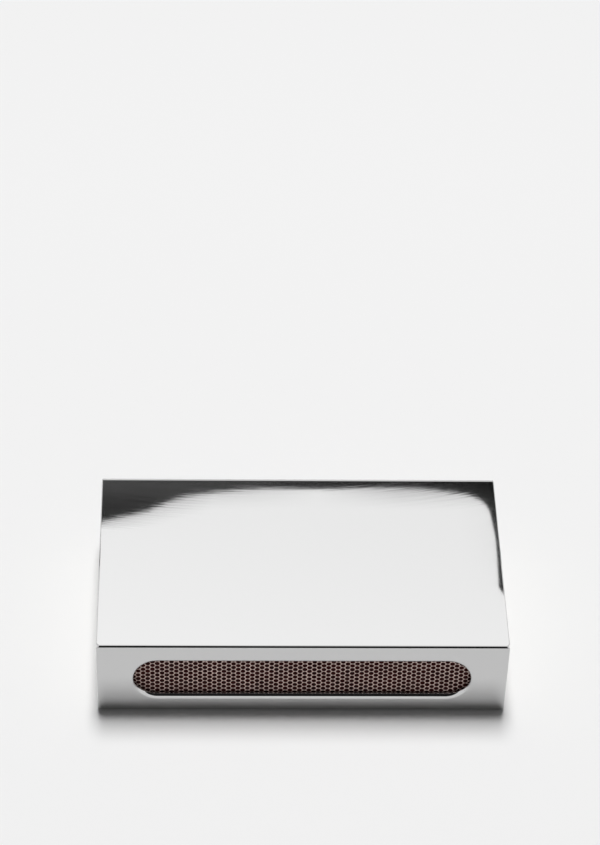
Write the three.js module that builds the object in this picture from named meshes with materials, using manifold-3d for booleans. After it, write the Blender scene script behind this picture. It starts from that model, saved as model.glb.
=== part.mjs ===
// A household match box in a polished metal cover, in millimetres, +Z up.
// The cover lies on its broad side with its length along X and its front window facing -Y.
// The origin is under the middle of the cover, on the surface that it rests on.
import * as THREE from "three";
import { mergeVertices } from "three/addons/utils/BufferGeometryUtils.js";
import Module from "manifold-3d";

const wasm = await Module();
wasm.setup();

// Cover: one sheet bent into a sleeve that is open at both short ends
const COVER_LENGTH = 115;
const COVER_DEPTH = 68;
const COVER_HEIGHT = 26.2;
const COVER_SHEET = 1.5;
const COVER_BEND_RADIUS = 1;
const COVER_INNER_BEND_RADIUS = 0.3;

// Windows: one with round ends in each long side, through which the matches are struck
const WINDOW_END_MARGIN = 10.1;
const WINDOW_TOP_MARGIN = 6.4;
const WINDOW_FOOT_MARGIN = 6.5;

// Card box inside the cover: its sleeve and the striking strips on the sleeve's long sides
const BOX_END_INSET = 1.2;
const BOX_SIDE_CLEARANCE = 0.3;
const BOX_TOP_CLEARANCE = 0.6;
const BOX_SEAT_GAP = 0.2;
const SLEEVE_CARD = 0.5;
const SLEEVE_FOLD_RADIUS = 0.8;
const LAP_WIDTH = 16;
const STRIKER_THICKNESS = 0.2;
const STRIKER_EDGE_MARGIN = 1.5;

// Tray inside the card sleeve, with flaps from its long walls glued inside its end walls
const TRAY_BOARD = 0.6;
const TRAY_FOLD_RADIUS = 0.7;
const TRAY_END_INSET = 0.3;
const TRAY_SIDE_CLEARANCE = 0.4;
const TRAY_TOP_CLEARANCE = 0.5;
const TRAY_SEAT_GAP = 0.2;
const FLAP_WIDTH = 15;
const FLAP_TOP_DROP = 1.2;
const FLAP_FOOT_GAP = 0.5;

// Matches: one layer lies across the tray floor, and a few lie on top of it
const LOWER_MATCHES = 22;
const UPPER_MATCHES = 5;
const SPLINT_WIDTH = 2;
const MATCH_END_PLAY = 5;
const HEAD_DIP = 2.8;
const HEAD_TIP = 1.9;
const HEAD_COAT = 0.25;
const HEAD_COAT_EDGE = 0.1;
const HEAD_FIT = 0.08;
const REST_GAP = 0.2;
const UPPER_TURN = THREE.MathUtils.degToRad(11);
const UPPER_DRIFT = 3;
const GOLDEN_STEP = 0.618;

// Which row of irregular values sets what, so that no two of them go together
const LOWER_TURN_ROW = 0;
const UPPER_DRIFT_ROW = 1;
const END_DRIFT_ROW = 2;
const UPPER_TURN_ROW = 4;

// Faces per curve, and how far one shape reaches into the next where the two are joined
const FOLD_SEGMENTS = 5;
const WINDOW_SEGMENTS = 20;
const HEAD_SIDES = 12;
const HEAD_BULGE_STEPS = 2;
const HEAD_CAP_STEPS = 4;
const CUT_OVERRUN = 5;
const JOIN_OVERLAP = 0.2;

// Sizes that follow from the ones above, from the cover inwards
const windowLength = COVER_LENGTH - 2 * WINDOW_END_MARGIN;
const windowHeight = COVER_HEIGHT - WINDOW_TOP_MARGIN - WINDOW_FOOT_MARGIN;
const windowRise = WINDOW_FOOT_MARGIN + windowHeight / 2;

const sleeveLength = COVER_LENGTH - 2 * BOX_END_INSET;
const sleeveDepth = COVER_DEPTH - 2 * (COVER_SHEET + BOX_SIDE_CLEARANCE + STRIKER_THICKNESS);
const sleeveHeight = COVER_HEIGHT - 2 * COVER_SHEET - BOX_TOP_CLEARANCE - BOX_SEAT_GAP;
const sleeveFoot = COVER_SHEET + BOX_SEAT_GAP;
const strikerHeight = sleeveHeight - 2 * STRIKER_EDGE_MARGIN;

const trayLength = sleeveLength - 2 * TRAY_END_INSET;
const trayDepth = sleeveDepth - 3 * SLEEVE_CARD - 2 * TRAY_SIDE_CLEARANCE;
const trayHeight = sleeveHeight - 2 * SLEEVE_CARD - TRAY_TOP_CLEARANCE - TRAY_SEAT_GAP;
const trayFoot = sleeveFoot + SLEEVE_CARD + TRAY_SEAT_GAP;
const trayMiddle = -SLEEVE_CARD / 2; // the glued lap takes one card's thickness at the back
const trayFloor = trayFoot + TRAY_BOARD;
const trayRoom = trayLength - 4 * TRAY_BOARD;

const matchLength = trayDepth - 2 * TRAY_BOARD - MATCH_END_PLAY;
const splintLength = matchLength - HEAD_TIP;
const socketWidth = SPLINT_WIDTH + 2 * HEAD_FIT;
const socketCorner = socketWidth / Math.SQRT2;
const headRadius = socketCorner + HEAD_COAT;

function finish(color, roughness, metalness) {
  return new THREE.MeshStandardMaterial({ color, roughness, metalness });
}

const polishedMetal = finish("#cfcfcc", 0.08, 1);
const whiteCard = finish("#e6dfcf", 0.75, 0);
const strikingCoat = finish("#2b1210", 0.85, 0);
const greyBoard = finish("#cfc4ad", 0.85, 0);
const aspenWood = finish("#e2c795", 0.7, 0);
const headCompound = finish("#54201a", 0.8, 0);

// A closed three.js geometry as a solid that can be joined and cut
function toSolid(geometry) {
  const bare = geometry.clone();
  bare.deleteAttribute("normal");
  bare.deleteAttribute("uv");
  const merged = mergeVertices(bare);
  const vertProperties = new Float32Array(merged.attributes.position.array);
  const triVerts = new Uint32Array(merged.index.array);
  return new wasm.Manifold(new wasm.Mesh({ numProp: 3, vertProperties, triVerts }));
}

function toGeometry(solid) {
  const made = solid.getMesh();
  const geometry = new THREE.BufferGeometry();
  geometry.setAttribute("position", new THREE.BufferAttribute(made.vertProperties, made.numProp));
  geometry.setIndex(new THREE.BufferAttribute(made.triVerts, 1));
  const shaded = geometry.toNonIndexed();
  shaded.computeVertexNormals();
  return shaded;
}

function placeMesh(name, geometry, material, x, y, z) {
  const mesh = new THREE.Mesh(geometry, material);
  mesh.name = name;
  mesh.position.set(x, y, z);
  return mesh;
}

function boxAt(lengthX, depthY, heightZ, x, y, z) {
  return new THREE.BoxGeometry(lengthX, depthY, heightZ).translate(x, y, z);
}

// A rectangle round the origin, with the given radius at its top and at its foot corners
function roundedRectangle(width, height, topRadius, footRadius) {
  const right = width / 2;
  const top = height / 2;
  const outline = new THREE.Shape();
  outline.moveTo(-right + footRadius, -top);
  outline.lineTo(right - footRadius, -top);
  outline.absarc(right - footRadius, -top + footRadius, footRadius, -Math.PI / 2, 0);
  outline.lineTo(right, top - topRadius);
  outline.absarc(right - topRadius, top - topRadius, topRadius, 0, Math.PI / 2);
  outline.lineTo(-right + topRadius, top);
  outline.absarc(-right + topRadius, top - topRadius, topRadius, Math.PI / 2, Math.PI);
  outline.lineTo(-right, -top + footRadius);
  outline.absarc(-right + footRadius, -top + footRadius, footRadius, Math.PI, 1.5 * Math.PI);
  return outline;
}

// An outline drawn in the YZ plane and drawn out along X, centred on the origin
function drawnAlongX(outline, length) {
  const drawn = new THREE.ExtrudeGeometry(outline, {
    depth: length,
    bevelEnabled: false,
    curveSegments: FOLD_SEGMENTS,
  });
  drawn.translate(0, 0, -length / 2);
  const alongX = new THREE.Matrix4().makeBasis(
    new THREE.Vector3(0, 1, 0),
    new THREE.Vector3(0, 0, 1),
    new THREE.Vector3(1, 0, 0),
  );
  return drawn.applyMatrix4(alongX);
}

// A four-sided tube of one sheet or card, open at both ends
function foldedTube(length, depth, height, wall, foldRadius, innerRadius) {
  const outer = roundedRectangle(depth, height, foldRadius, foldRadius);
  const inner = roundedRectangle(depth - 2 * wall, height - 2 * wall, innerRadius, innerRadius);
  const tube = toSolid(drawnAlongX(outer, length));
  return tube.subtract(toSolid(drawnAlongX(inner, length + CUT_OVERRUN)));
}

// The cutter that opens a window with round ends in both long sides at once
function windowCutter() {
  const radius = windowHeight / 2;
  const reach = windowLength / 2 - radius;
  const outline = new THREE.Shape();
  outline.moveTo(-reach, -radius);
  outline.lineTo(reach, -radius);
  outline.absarc(reach, 0, radius, -Math.PI / 2, Math.PI / 2);
  outline.lineTo(-reach, radius);
  outline.absarc(-reach, 0, radius, Math.PI / 2, 1.5 * Math.PI);
  const depth = COVER_DEPTH + 2 * CUT_OVERRUN;
  const cutter = new THREE.ExtrudeGeometry(outline, {
    depth,
    bevelEnabled: false,
    curveSegments: WINDOW_SEGMENTS,
  });
  cutter.translate(0, 0, -depth / 2);
  cutter.rotateX(Math.PI / 2);
  return cutter.translate(0, 0, windowRise - COVER_HEIGHT / 2);
}

function makeCover() {
  const sleeve = foldedTube(
    COVER_LENGTH,
    COVER_DEPTH,
    COVER_HEIGHT,
    COVER_SHEET,
    COVER_BEND_RADIUS,
    COVER_INNER_BEND_RADIUS,
  );
  const pierced = sleeve.subtract(toSolid(windowCutter()));
  return placeMesh("cover", toGeometry(pierced), polishedMetal, 0, 0, COVER_HEIGHT / 2);
}

// The card sleeve, with the lap that is glued inside its back wall and folds up from its floor
function makeBoxSleeve() {
  const innerFold = Math.max(0, SLEEVE_FOLD_RADIUS - SLEEVE_CARD);
  const tube = foldedTube(
    sleeveLength,
    sleeveDepth,
    sleeveHeight,
    SLEEVE_CARD,
    SLEEVE_FOLD_RADIUS,
    innerFold,
  );
  const lapFoot = SLEEVE_CARD - JOIN_OVERLAP - sleeveHeight / 2;
  const lapBack = sleeveDepth / 2 - SLEEVE_CARD + JOIN_OVERLAP;
  const lapDepth = SLEEVE_CARD + JOIN_OVERLAP;
  const lapHeight = LAP_WIDTH + JOIN_OVERLAP;
  const lap = boxAt(
    sleeveLength,
    lapDepth,
    lapHeight,
    0,
    lapBack - lapDepth / 2,
    lapFoot + lapHeight / 2,
  );
  const folded = tube.add(toSolid(lap));
  const middle = sleeveFoot + sleeveHeight / 2;
  return placeMesh("box_sleeve", toGeometry(folded), whiteCard, 0, 0, middle);
}

// One striking strip, on the long side of the card sleeve that side names: -1 front, 1 back
function makeStriker(name, side) {
  const strip = new THREE.BoxGeometry(sleeveLength, STRIKER_THICKNESS, strikerHeight);
  const face = side * (sleeveDepth / 2 + STRIKER_THICKNESS / 2);
  return placeMesh(name, strip, strikingCoat, 0, face, sleeveFoot + sleeveHeight / 2);
}

// One glued corner flap of the tray: endSide and wallSide are -1 or 1
function trayFlap(endSide, wallSide) {
  const thickness = TRAY_BOARD + JOIN_OVERLAP;
  const width = FLAP_WIDTH + JOIN_OVERLAP;
  const foot = TRAY_BOARD + FLAP_FOOT_GAP;
  const height = trayHeight - FLAP_TOP_DROP - foot;
  const inFromEnd = trayLength / 2 - TRAY_BOARD + JOIN_OVERLAP - thickness / 2;
  const inFromWall = trayDepth / 2 - TRAY_BOARD + JOIN_OVERLAP - width / 2;
  const middle = foot + height / 2 - trayHeight / 2;
  return boxAt(thickness, width, height, endSide * inFromEnd, wallSide * inFromWall, middle);
}

function makeTray() {
  const outer = roundedRectangle(trayDepth, trayHeight, 0, TRAY_FOLD_RADIUS);
  const innerLength = trayLength - 2 * TRAY_BOARD;
  const innerDepth = trayDepth - 2 * TRAY_BOARD;
  const hollowHeight = trayHeight - TRAY_BOARD + CUT_OVERRUN;
  const hollowMiddle = TRAY_BOARD + hollowHeight / 2 - trayHeight / 2;
  const hollow = boxAt(innerLength, innerDepth, hollowHeight, 0, 0, hollowMiddle);
  let tray = toSolid(drawnAlongX(outer, trayLength)).subtract(toSolid(hollow));
  for (const endSide of [-1, 1]) {
    for (const wallSide of [-1, 1]) {
      tray = tray.add(toSolid(trayFlap(endSide, wallSide)));
    }
  }
  const middle = trayFoot + trayHeight / 2;
  return placeMesh("tray", toGeometry(tray), greyBoard, 0, trayMiddle, middle);
}

// A match points along its own +Y, with its origin halfway between tail and tip
function stickGeometry() {
  const stick = new THREE.BoxGeometry(SPLINT_WIDTH, splintLength, SPLINT_WIDTH);
  return stick.translate(0, -HEAD_TIP / 2, 0);
}

// The dipped head: a drop round the end of the splint, widest where the splint stops inside it
function headGeometry() {
  const edgeRadius = socketCorner + HEAD_COAT_EDGE;
  const profile = [new THREE.Vector2(0, 0)];
  for (let step = 0; step <= HEAD_BULGE_STEPS; step += 1) {
    const turn = (step / HEAD_BULGE_STEPS) * (Math.PI / 2);
    const radius = edgeRadius + (headRadius - edgeRadius) * Math.sin(turn);
    profile.push(new THREE.Vector2(radius, HEAD_DIP * (1 - Math.cos(turn))));
  }
  for (let step = 1; step < HEAD_CAP_STEPS; step += 1) {
    const turn = (step / HEAD_CAP_STEPS) * (Math.PI / 2);
    profile.push(
      new THREE.Vector2(headRadius * Math.cos(turn), HEAD_DIP + HEAD_TIP * Math.sin(turn)),
    );
  }
  profile.push(new THREE.Vector2(0, HEAD_DIP + HEAD_TIP));
  const drop = new THREE.LatheGeometry(profile, HEAD_SIDES, Math.PI / HEAD_SIDES);
  const socketDepth = HEAD_DIP + HEAD_FIT + CUT_OVERRUN;
  const socketMiddle = HEAD_DIP + HEAD_FIT - socketDepth / 2;
  const socket = boxAt(socketWidth, socketDepth, socketWidth, 0, socketMiddle, 0);
  const head = toSolid(drop).subtract(toSolid(socket));
  return toGeometry(head).translate(0, matchLength / 2 - HEAD_TIP - HEAD_DIP, 0);
}

// Even but irregular values from -1 to 1, the same on every run
function wobble(index, row) {
  const share = (index + 1) * GOLDEN_STEP + row * GOLDEN_STEP * GOLDEN_STEP;
  return 2 * (share - Math.floor(share)) - 1;
}

// Sets a match down with its axis at tailRise over the tray floor at its tail
// and at headRise where its head is widest
function layMatch(number, x, turn, tailRise, headRise) {
  const label = String(number).padStart(2, "0");
  const match = new THREE.Group();
  match.add(placeMesh("match_stick_" + label, stick, aspenWood, 0, 0, 0));
  match.add(placeMesh("match_head_" + label, head, headCompound, 0, 0, 0));
  const slope = (headRise - tailRise) / splintLength;
  const drift = wobble(number, END_DRIFT_ROW) * (MATCH_END_PLAY / 2 - REST_GAP - HEAD_COAT);
  match.rotation.set(Math.asin(slope), 0, turn, "ZXY");
  match.position.set(x, trayMiddle + drift, trayFloor + tailRise + (slope * matchLength) / 2);
  return match;
}

// The lower layer: heads all at the back, each match turned only as far as its neighbours allow
function layLowerMatches(parent) {
  const fitting = Math.floor(trayRoom / (2 * headRadius + REST_GAP));
  const count = Math.min(LOWER_MATCHES, fitting);
  const pitch = trayRoom / count;
  const freeTurn = Math.asin((pitch - 2 * headRadius - REST_GAP) / matchLength);
  const tailRise = REST_GAP + SPLINT_WIDTH / 2;
  const headRise = REST_GAP + headRadius;
  for (let index = 0; index < count; index += 1) {
    const x = (index + 0.5 - count / 2) * pitch;
    const turn = wobble(index, LOWER_TURN_ROW) * freeTurn;
    parent.add(layMatch(index + 1, x, turn, tailRise, headRise));
  }
  return count;
}

// The upper matches lie across the lower ones, every second one with its head at the front
function layUpperMatches(parent, firstNumber) {
  const pitch = trayRoom / UPPER_MATCHES;
  const overSticks = 2 * REST_GAP + SPLINT_WIDTH;
  const overHeads = 2 * REST_GAP + 2 * headRadius;
  for (let index = 0; index < UPPER_MATCHES; index += 1) {
    const reversed = index % 2 === 1;
    const tailRise = (reversed ? overHeads : overSticks) + SPLINT_WIDTH / 2;
    const headRise = (reversed ? overSticks : overHeads) + headRadius;
    const drift = wobble(index, UPPER_DRIFT_ROW) * UPPER_DRIFT;
    const x = (index + 0.5 - UPPER_MATCHES / 2) * pitch + drift;
    const turn = wobble(index, UPPER_TURN_ROW) * UPPER_TURN + (reversed ? Math.PI : 0);
    parent.add(layMatch(firstNumber + index, x, turn, tailRise, headRise));
  }
}

const stick = stickGeometry();
const head = headGeometry();

const matchBox = new THREE.Group();
matchBox.add(makeCover());
matchBox.add(makeBoxSleeve());
matchBox.add(makeStriker("striker_front", -1));
matchBox.add(makeStriker("striker_back", 1));
matchBox.add(makeTray());
const lowerCount = layLowerMatches(matchBox);
layUpperMatches(matchBox, lowerCount + 1);

export default matchBox;
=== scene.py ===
"""A household match box in a mirror-polished metal cover, dressed round its CAD frame.

Metres, +Z up, origin on the floor under the middle of the cover, front window facing -Y.
"""

import math
import random

import bmesh
import bpy
from mathutils import Euler, Matrix, Vector, noise


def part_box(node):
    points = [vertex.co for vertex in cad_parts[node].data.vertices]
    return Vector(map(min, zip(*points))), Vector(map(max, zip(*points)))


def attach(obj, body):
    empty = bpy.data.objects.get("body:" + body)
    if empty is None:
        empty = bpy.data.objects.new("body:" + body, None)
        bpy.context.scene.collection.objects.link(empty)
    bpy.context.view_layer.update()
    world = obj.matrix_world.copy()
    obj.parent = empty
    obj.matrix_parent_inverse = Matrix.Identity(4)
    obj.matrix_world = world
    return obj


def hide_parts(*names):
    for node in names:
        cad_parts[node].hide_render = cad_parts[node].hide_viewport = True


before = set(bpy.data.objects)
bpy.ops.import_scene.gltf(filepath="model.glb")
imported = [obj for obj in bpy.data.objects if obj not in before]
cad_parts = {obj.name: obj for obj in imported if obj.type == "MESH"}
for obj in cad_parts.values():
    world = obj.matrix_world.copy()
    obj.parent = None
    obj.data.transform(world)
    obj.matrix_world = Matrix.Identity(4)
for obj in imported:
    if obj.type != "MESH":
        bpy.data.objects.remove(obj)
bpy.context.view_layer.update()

MM = 0.001

# Cover: a bent sheet, rounded at the rims of both open ends; the outside of a bend is arcs, given
# as radius and turn from the broad face round to the edge face
COVER_SHEET = 1.5 * MM
COVER_BEND = ((1.6 * MM, 30), (2.2 * MM, 14.5), (0.25 * MM, 45.5))
COVER_INNER_RADIUS = 0.3 * MM
COVER_RIM_RADIUS = 0.3 * MM
COVER_RIM_DRAW = 0.5 * MM
BEND_STEPS = 6
RIM_STEPS = 8

# Buffing of the sheet: the bow of its streaks, per metre, how wide and deep the streaks and waves
# are, and hazy patches as X, Y, reach along X and Y, and share
BUFFING_MIDDLE = 14.7 * MM
BUFFING_BOW = 1.98
BUFFING_GRAIN = 0.45 * MM
STREAK_GRAIN = 0.65 * MM
WAVE_LENGTH = 22 * MM
BUFFING_DEPTH = 0.0002 * MM
STREAK_DEPTH = 0.0008 * MM
WAVE_DEPTH = 0.002 * MM
HAZE_ROUGHNESS = 0.09
HAZE_EVERYWHERE = 0.01
HAZE_PATCHES = (
    (-52 * MM, 26 * MM, 52 * MM, 22 * MM, 0.07),
    (-14 * MM, 30 * MM, 10 * MM, 6 * MM, 0.06),
    (40 * MM, 29 * MM, 26 * MM, 11 * MM, 0.06),
    (54 * MM, 10 * MM, 9 * MM, 26 * MM, 0.12),
)

# Windows: the outer edge rolls off in four arcs, given as radius and turn from the window's wall
# towards the cover's face, less at the round ends, and the inner edge is only broken
WINDOW_END_MARGIN = 10.2 * MM
WINDOW_TOP_MARGIN = 6.6 * MM
WINDOW_FOOT_MARGIN = 6.17 * MM
WINDOW_ROLL = ((0.1 * MM, 32.5), (4.2 * MM, 12), (0.55 * MM, 17.5), (1.45 * MM, 28))
WINDOW_END_ROLL = 0.3
WINDOW_BREAK = 0.2 * MM
WINDOW_ROLL_STEPS = 5
WINDOW_BREAK_STEPS = 4
WINDOW_ARC_STEPS = 24

# Card sleeve, the lines printed round its broad faces as inset and width, and the striking strips
SLEEVE_CARD = 0.5 * MM
SLEEVE_FOLD_RADIUS = 0.8 * MM
LAP_WIDTH = 16 * MM
CARD_STEPS = 5
PRINTED_LINES = ((4.2 * MM, 1.6 * MM), (6.6 * MM, 0.4 * MM))
STRIP_GROUND = 0.188 * MM
DOT_PITCH = 1.54 * MM
DOT_RADIUS = 0.718 * MM
DOT_SHOULDER = 0.04 * MM
DOT_SIDES = 12
DOT_SINK = 0.03 * MM
DOT_SLIP = 0.012 * MM
DOT_SIZE_SPREAD = 0.03
PRINT_SHIFT_X = -0.63 * MM
PRINT_SHIFT_Z = -0.1 * MM

# Tray: floor, long walls, end walls and the flaps glued inside them
TRAY_BOARD = 0.6 * MM
TRAY_FOLD_RADIUS = 0.7 * MM
TRAY_END_FOLD_RADIUS = 0.9 * TRAY_BOARD
FLAP_WIDTH = 15 * MM
FLAP_TOP_DROP = 1.2 * MM
FLAP_FOOT_GAP = 0.5 * MM
GLUE_SEAM = 0.03 * MM
CUT_EDGE_SOFTNESS = 0.07 * MM

# Matches
SPLINT_WIDTH = 2 * MM
SPLINT_EDGE = 0.12 * MM
SPLINT_STEPS = 10
SPLINT_UNEVENNESS = 0.05 * MM
SPLINT_SWAY_LENGTH = 14 * MM
SPLINT_WEAR_LENGTH = 4 * MM
HEAD_DIP = 2.8 * MM
HEAD_TIP = 1.9 * MM
HEAD_COAT = 0.25 * MM
HEAD_EDGE_COAT = 0.07 * MM
HEAD_SIDES = 20
HEAD_RINGS = 12
HEAD_UNEVENNESS = 0.06 * MM
HEAD_BUMP_LENGTH = 1.6 * MM
HEAD_ROUNDING_LENGTH = 0.8 * HEAD_DIP
DIP_LINE_DRIFT = 0.35 * MM

# Stage, in metres and degrees of elevation over the object, behind it unless said otherwise; the
# front card starts and ends at degrees past the zenith, and a card's glow and the veil's painted
# shade change between the places given for them
FLOOR_RADIUS = 9
FLOOR_SIDES = 96
FLOOR_DROP = 0.00002
FLOOR_LIT_RADIUS = 0.22
FLOOR_FADED_RADIUS = 0.5
LAMP_DISTANCE = 8
HIGH_LAMP = {"elevation": 83.2, "width": 1.5, "height": 1.07, "power": 147}
LOW_LAMP = {"elevation": 75.6, "width": 2.1, "height": 3.65, "power": 470}
PANEL_DISTANCE = 2.4
PANEL_ELEVATION = 65
PANEL_WIDTH = 3.2
PANEL_HEIGHT = 2.2
PANEL_STRENGTH = 1.44
PANEL_LEFT = -0.12
PANEL_RIGHT = 0.3
PANEL_FOOT = 1.8
PANEL_TOP = 1.87
PANEL_GLOW_ACROSS = 0.015
PANEL_GLOW_UPWARDS = 0.02
BACKDROP_STRENGTH = 0.866
FILL_STRENGTH = 0.13
MIRRORED_STRENGTH = 1.2
CARD_GLOW_TOP = 0.027
CARD_GLOW_LEFT = 0.098
CARD_GLOW_RIGHT = 0.014
CARD_GLOW_SPAN_X = (-0.1, 0.15)
CARD_GLOW_SPAN_Z = (0.955, 0.975)
BACK_CARD_PLACE = 1
# The veil: a strip of painted shade along the back card's edge, seen only in mirrors
VEIL_LENGTH = 0.4
VEIL_HEIGHT = 0.024
VEIL_PLACE = 0.975
VEIL_LEFT = 0.4
VEIL_MIDDLE = 0.05
VEIL_RIGHT = 0.4
VEIL_FADE = 1.5
VEIL_FOOT_SPAN_X = (-0.1, -0.015)
VEIL_FOOT_SPAN_Z = (0.992, 0.957)
VEIL_LEFT_SPAN_X = (-0.02, 0.06)
VEIL_RIGHT_SPAN_X = (0.06, 0.12)
FRONT_CARD_DISTANCE = 2.2
FRONT_CARD_GLOW = 0.015
FRONT_CARD_WIDTH = 6.4
FRONT_CARD_START = 14.5
FRONT_CARD_END = 45

# Outline of the dark arch behind, as X and Z in millimetres: outwards over the top from its left
# foot, with the wavy edge that the polished top mirrors in the middle, and back along its inside
BACK_CARD_OUTLINE = (
    (-1100, 60), (-1010, 420), (-760, 740), (-497, 914), (-269, 994), (-132, 1012), (-96, 992),
    (-66, 982), (-38, 967), (0, 960), (60, 958), (155, 960), (181, 970), (191, 996), (196, 1026),
    (198.5, 1047), (201.5, 1063), (212, 1071), (275, 1058), (381, 1024), (613, 916), (786, 781),
    (943, 580), (1060, 320), (1100, 60), (1040, 60), (970, 340), (790, 600), (500, 792), (190, 850),
    (-97, 850), (-400, 795), (-690, 610), (-870, 370), (-947, 60),
)

# Camera: a short telephoto view from in front and above
CAMERA_PLACE = Vector((-31.475, -625.466, 654.655)) * MM
CAMERA_PITCH = math.radians(42.565)
CAMERA_YAW = math.radians(2.725)
CAMERA_ROLL = math.radians(2.118)
CAMERA_LENS = 132.27
CAMERA_NEAR = 0.01
CAMERA_FAR = 30
SENSOR_WIDTH = 36

# A face counts as facing along an axis from this cosine on, and points closer than this are one
FLAT = 0.9999
SAME_PLACE = 1e-7

# Edges between faces that turn by more than these, in degrees, show as sharp
STRIP_SHARP_ANGLE = 30
BOARD_SHARP_ANGLE = 35
SPLINT_SHARP_ANGLE = 50

# Turns that stand a flat shape of the XY plane up
XY_TO_YZ = Matrix(((0, 0, 1, 0), (1, 0, 0, 0), (0, 1, 0, 0), (0, 0, 0, 1)))
XY_TO_XZ = Matrix(((1, 0, 0, 0), (0, 0, -1, 0), (0, 1, 0, 0), (0, 0, 0, 1)))

# The printed dots' unevenness is drawn from rng, and the splints' from the noise, so both are seeded
rng = random.Random(27)
noise.seed_set(27)


def linear(colour):
    """An sRGB hex colour as the linear RGBA that a socket takes."""
    shares = [int(colour[start : start + 2], 16) / 255 for start in (1, 3, 5)]
    return [s / 12.92 if s <= 0.04045 else ((s + 0.055) / 1.055) ** 2.4 for s in shares] + [1]


def add(tree, kind, settings=None, inputs=None):
    """Adds a node with its settings; an input that is a socket is linked, any other is set."""
    node = tree.nodes.new(kind)
    for name, value in (settings or {}).items():
        setattr(node, name, value)
    for name, value in (inputs or {}).items():
        if isinstance(value, bpy.types.NodeSocket):
            tree.links.new(value, node.inputs[name])
        else:
            node.inputs[name].default_value = value
    return node


def new_material(name):
    """An empty node material and its tree."""
    material = bpy.data.materials.new(name)
    material.use_nodes = True
    material.node_tree.nodes.clear()
    return material, material.node_tree


def show(tree, shader):
    """Makes a shader the material's surface."""
    add(tree, "ShaderNodeOutputMaterial", inputs={"Surface": shader})


def maths(tree, operation, *values):
    """The result of a sum on values or sockets."""
    return add(tree, "ShaderNodeMath", {"operation": operation}, dict(enumerate(values))).outputs[0]


def parts_of(tree, vector):
    """A vector's X, Y and Z."""
    return add(tree, "ShaderNodeSeparateXYZ", inputs={0: vector}).outputs


def scaled(tree, vector, x, y, z):
    """The vector stretched along its axes, for a pattern that runs one way."""
    settings = {"operation": "MULTIPLY"}
    return add(tree, "ShaderNodeVectorMath", settings, {0: vector, 1: (x, y, z)}).outputs[0]


def grain(tree, vector, size, detail=2.0, roughness=0.5):
    """Noise whose features are about size metres across."""
    inputs = {"Vector": vector, "Scale": 1 / size, "Detail": detail, "Roughness": roughness}
    return add(tree, "ShaderNodeTexNoise", inputs=inputs).outputs["Fac"]


def between(tree, value, low, high, start=0.0, end=1.0):
    """Maps a value from low..high to start..end and holds it there."""
    settings = {"clamp": True}
    inputs = {"Value": value, "From Min": low, "From Max": high, "To Min": start, "To Max": end}
    return add(tree, "ShaderNodeMapRange", settings, inputs).outputs[0]


def blended(tree, share, first, second):
    """Two colours mixed by a share; each is a hex colour or a colour socket."""
    colours = [linear(c) if isinstance(c, str) else c for c in (first, second)]
    inputs = {"Factor": share, 6: colours[0], 7: colours[1]}
    return add(tree, "ShaderNodeMix", {"data_type": "RGBA"}, inputs).outputs[2]


def raised(tree, height, depth, below=None):
    """A bump of the given depth in metres, on top of another bump where one is given."""
    inputs = {"Height": height, "Distance": depth, "Strength": 1.0}
    if below:
        inputs["Normal"] = below
    return add(tree, "ShaderNodeBump", inputs=inputs).outputs[0]


def object_place(tree):
    """Where a point is on the object, in metres."""
    return add(tree, "ShaderNodeTexCoord").outputs["Object"]


def bowed(tree, place):
    """The place with its Y lowered along a flat bow, as the buffing wheel swings over the sheet."""
    axes = parts_of(tree, place)
    off = maths(tree, "ADD", axes[0], BUFFING_MIDDLE)
    square = maths(tree, "MULTIPLY", off, off)
    lowered = maths(tree, "MULTIPLY_ADD", square, -BUFFING_BOW, axes[1])
    return add(tree, "ShaderNodeCombineXYZ", inputs={0: axes[0], 1: lowered, 2: axes[2]}).outputs[0]


def haze_patches(tree, place):
    """Soft patches on the sheet where the buffing left a haze, from 0 to each patch's share."""
    whole = 0.0
    for x, y, reach_x, reach_y, share in HAZE_PATCHES:
        off = add(tree, "ShaderNodeVectorMath", {"operation": "SUBTRACT"}, {0: place, 1: (x, y, 0)})
        off = scaled(tree, off.outputs[0], 1 / reach_x, 1 / reach_y, 0)
        away = add(tree, "ShaderNodeVectorMath", {"operation": "LENGTH"}, {0: off}).outputs["Value"]
        whole = maths(tree, "MAXIMUM", between(tree, away, 0.2, 1, share, 0), whole)
    return whole


def mirror_polished_steel():
    """Mirror-polished stainless steel: buffed along its length, so its mirror image stays sharp
    but breaks up in fine streaks, with a faint haze in places, and the sheet is slightly wavy."""
    material, tree = new_material("Mirror-polished stainless steel")
    place = object_place(tree)
    swung = bowed(tree, place)
    buffing = grain(tree, scaled(tree, swung, 0.04, 1, 1), BUFFING_GRAIN, 3, 0.6)
    streaks = grain(tree, scaled(tree, swung, 0.035, 1, 1), STREAK_GRAIN, 3, 0.6)
    waves = grain(tree, scaled(tree, place, 0.5, 1, 1), WAVE_LENGTH, 1)
    wavy = raised(tree, waves, WAVE_DEPTH)
    patches = haze_patches(tree, place)
    streaks_in_patches = maths(tree, "MULTIPLY", streaks, between(tree, patches, 0, 0.06, 0.4, 1))
    streaky = raised(tree, streaks_in_patches, STREAK_DEPTH, wavy)
    normal = raised(tree, buffing, BUFFING_DEPTH, streaky)
    in_streaks = between(tree, streaks, 0.35, 0.65, 0.3, 1)
    haze = maths(tree, "MULTIPLY_ADD", patches, in_streaks, HAZE_EVERYWHERE)
    lobes = []
    for roughness in (between(tree, buffing, 0.3, 0.7, 0.012, 0.022), HAZE_ROUGHNESS):
        inputs = {
            "Base Color": linear("#c8c8c8"),
            "Metallic": 1.0,
            "Roughness": roughness,
            "Normal": normal,
        }
        lobes.append(add(tree, "ShaderNodeBsdfPrincipled", inputs=inputs).outputs[0])
    inputs = {0: haze, 1: lobes[0], 2: lobes[1]}
    show(tree, add(tree, "ShaderNodeMixShader", inputs=inputs).outputs[0])
    return material


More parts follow.
